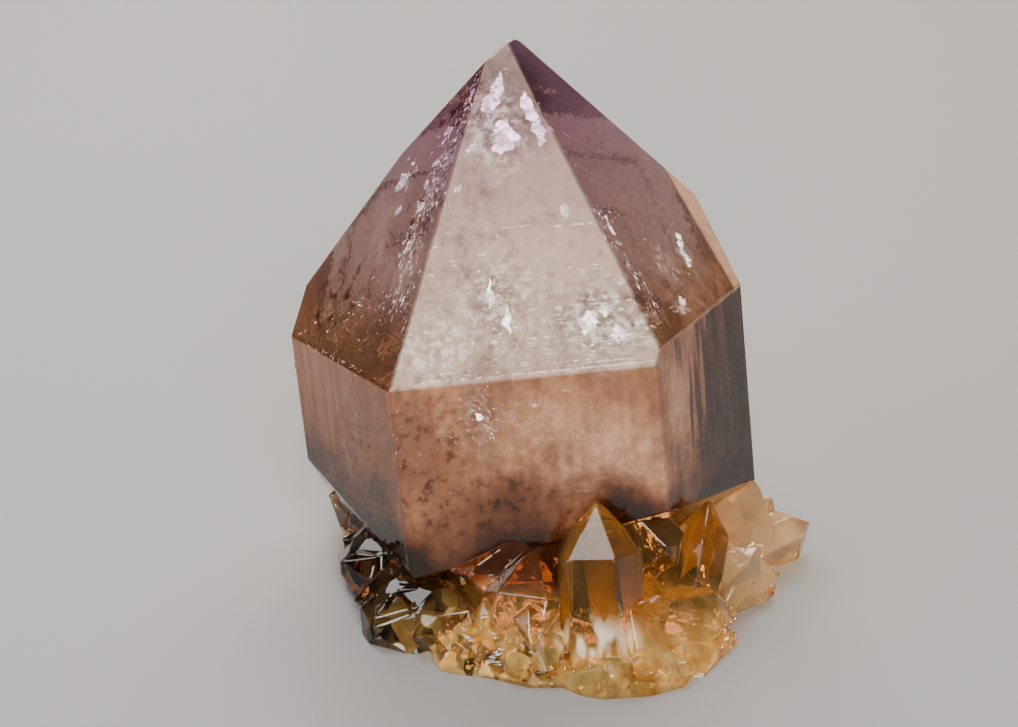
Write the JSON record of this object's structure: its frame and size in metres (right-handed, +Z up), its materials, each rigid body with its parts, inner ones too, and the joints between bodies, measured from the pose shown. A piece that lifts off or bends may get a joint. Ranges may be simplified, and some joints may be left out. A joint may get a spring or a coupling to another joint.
{
  "type": "amethyst crystal",
  "caption": "Stubby smoky-lilac quartz point standing in a crust of small honey-coloured quartz crystals, cut off flat underneath.",
  "frame": {"origin": "middle of the footprint, on the flat underside that the cluster rests on", "axes": "+Z up, close to the large crystal's own axis, which leans a few degrees; -Y is the front, with the tall clear small crystal; +X is to the right seen from the front"},
  "size_m": [0.081, 0.079, 0.0798],
  "materials": {
    "quartz": "clear to hazy quartz with flat glossy growth faces: lilac at the tip, rose-brown in the body, honey amber and smoky brown at the foot, with veils, bright fractures and dark specks inside"
  },
  "bodies": {
    "root": {"crystal_cluster": "quartz"}
  },
  "joints": []
}
